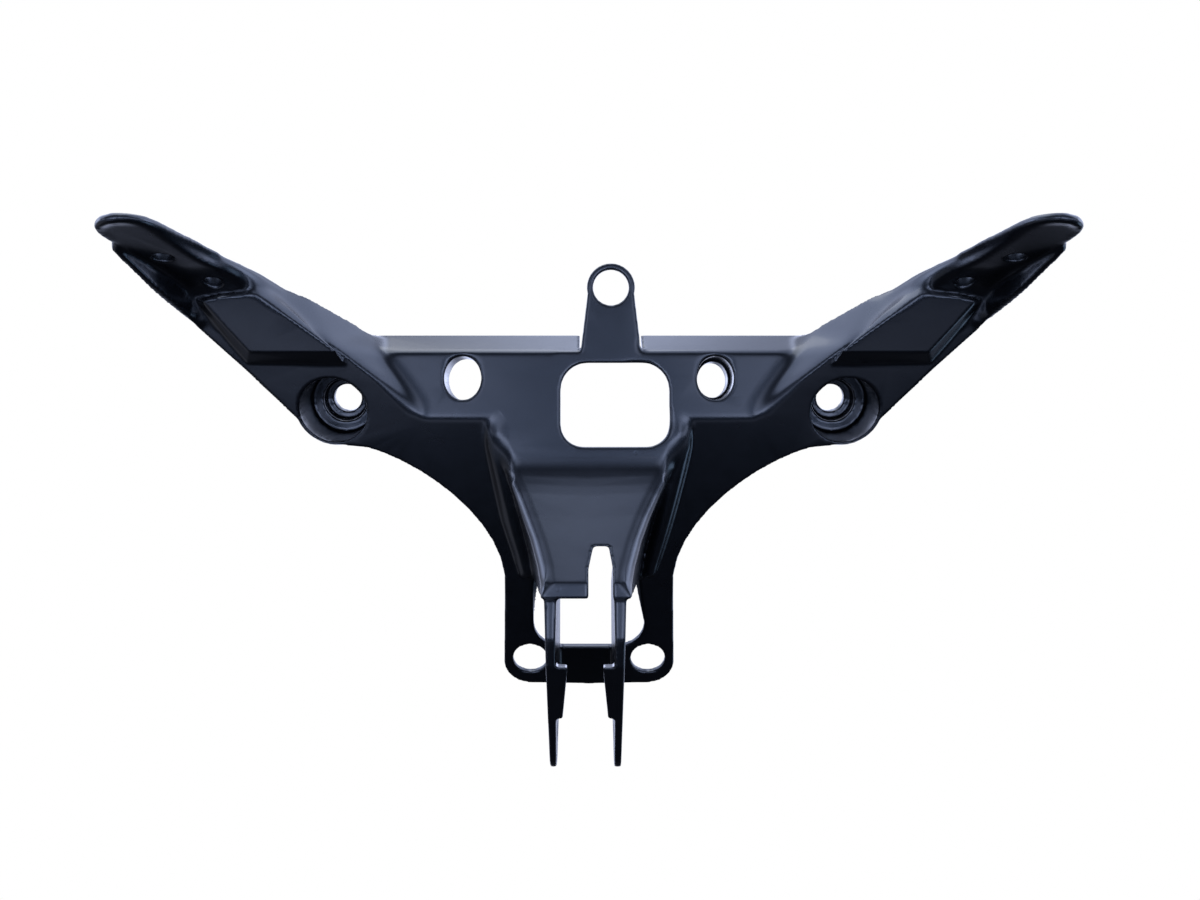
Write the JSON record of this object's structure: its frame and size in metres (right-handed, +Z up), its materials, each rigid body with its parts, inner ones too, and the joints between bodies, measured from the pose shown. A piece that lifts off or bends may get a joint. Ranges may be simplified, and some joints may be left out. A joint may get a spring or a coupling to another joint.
{
  "type": "motorcycle fairing stay",
  "caption": "One-piece black cast bracket that carries a fairing: two winged mirror seats, an upright panel with a window and tab, a lower frame and a two-eared fork",
  "frame": {"origin": "on the axis of the fork's lower bolt, in the plane midway between the two wings", "axes": "+X to the right seen from the front, +Y to the back, +Z up; the centre panel stands upright and faces -Y"},
  "size_m": [0.3676, 0.1632, 0.2339],
  "materials": {
    "black_paint": "semi-gloss black paint over fine cast grain"
  },
  "bodies": {
    "root": {"stay_casting": "black_paint"}
  },
  "joints": []
}
